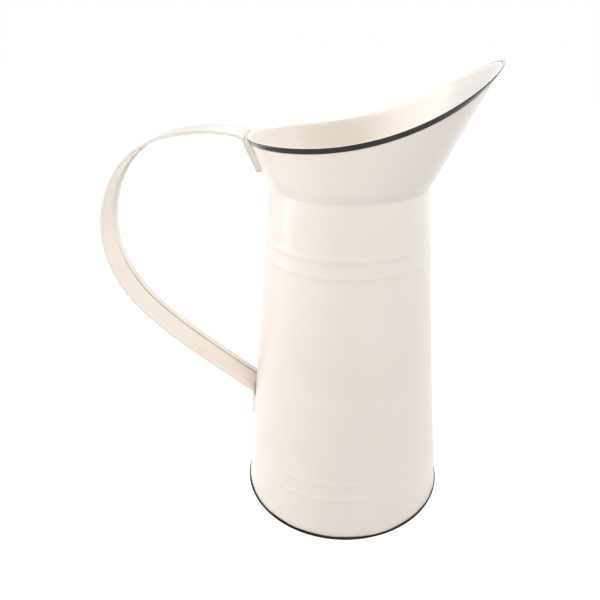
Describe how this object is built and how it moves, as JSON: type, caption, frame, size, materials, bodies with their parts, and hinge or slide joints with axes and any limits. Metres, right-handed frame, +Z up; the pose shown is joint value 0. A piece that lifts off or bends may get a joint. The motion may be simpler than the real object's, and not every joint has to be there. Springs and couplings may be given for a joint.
{
  "type": "pitcher",
  "caption": "Enamelled sheet-metal pitcher: tapered ribbed body on a foot rim, scooped collar with a wide spout and hemmed rim, strap handle.",
  "frame": {"origin": "on the floor, on the axis of the round body", "axes": "+Z up, +X towards the spout, -X towards the handle; XZ is the plane of symmetry"},
  "size_m": [0.2317, 0.1418, 0.2861],
  "materials": {
    "cream_enamel": "glossy vitreous enamel",
    "black_enamel": "glossy vitreous enamel"
  },
  "bodies": {
    "root": {"body": "cream_enamel", "pan": "cream_enamel", "foot_rim": "black_enamel", "collar": "cream_enamel", "rim_hem": "black_enamel", "handle": "cream_enamel"}
  },
  "joints": []
}
